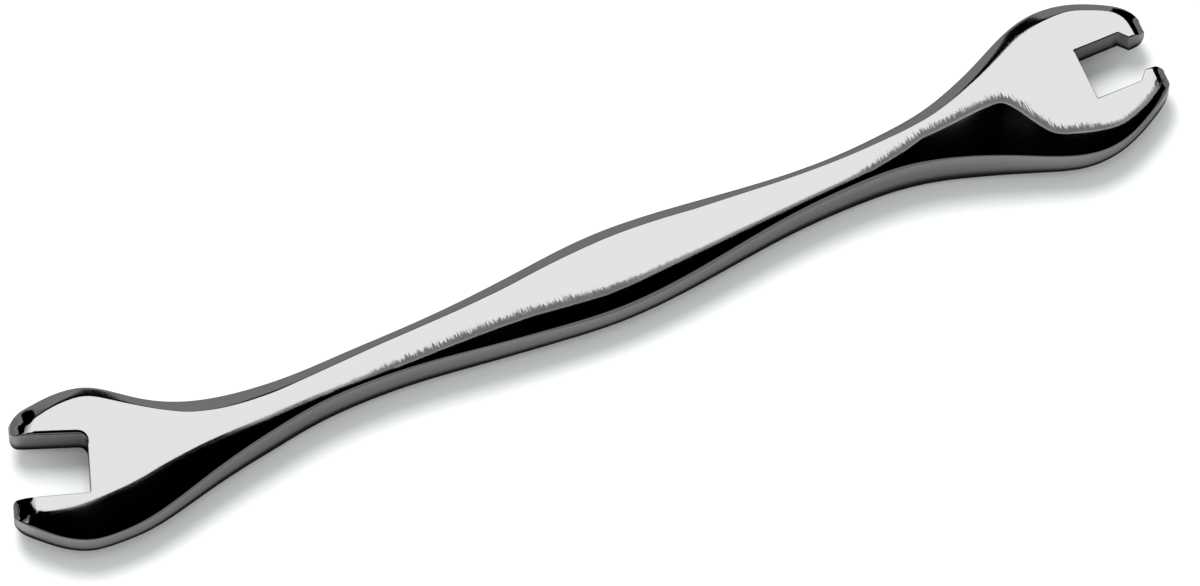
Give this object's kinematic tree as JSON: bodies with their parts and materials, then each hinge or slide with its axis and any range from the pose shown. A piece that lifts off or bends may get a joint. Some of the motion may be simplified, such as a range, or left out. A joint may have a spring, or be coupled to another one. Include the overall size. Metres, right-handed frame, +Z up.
{
  "type": "spoke wrench",
  "caption": "Slim forged wrench with a turned open jaw at one end, a hooked box-like jaw at the other and a waisted handle with a flat grip.",
  "frame": {"origin": "middle of the wrench's box in plan, on the plane that its lowest place touches", "axes": "+X along the handle from the open jaw to the hooked jaw, +Y to the side that the open jaw turns toward, +Z up through the thickness"},
  "size_m": [0.1296, 0.0194, 0.0067],
  "materials": {
    "chrome_plate": "polished chrome plate on forged steel, with fine marks from cross polishing on the broad faces"
  },
  "bodies": {
    "root": {"forged_body": "chrome_plate"}
  },
  "joints": []
}
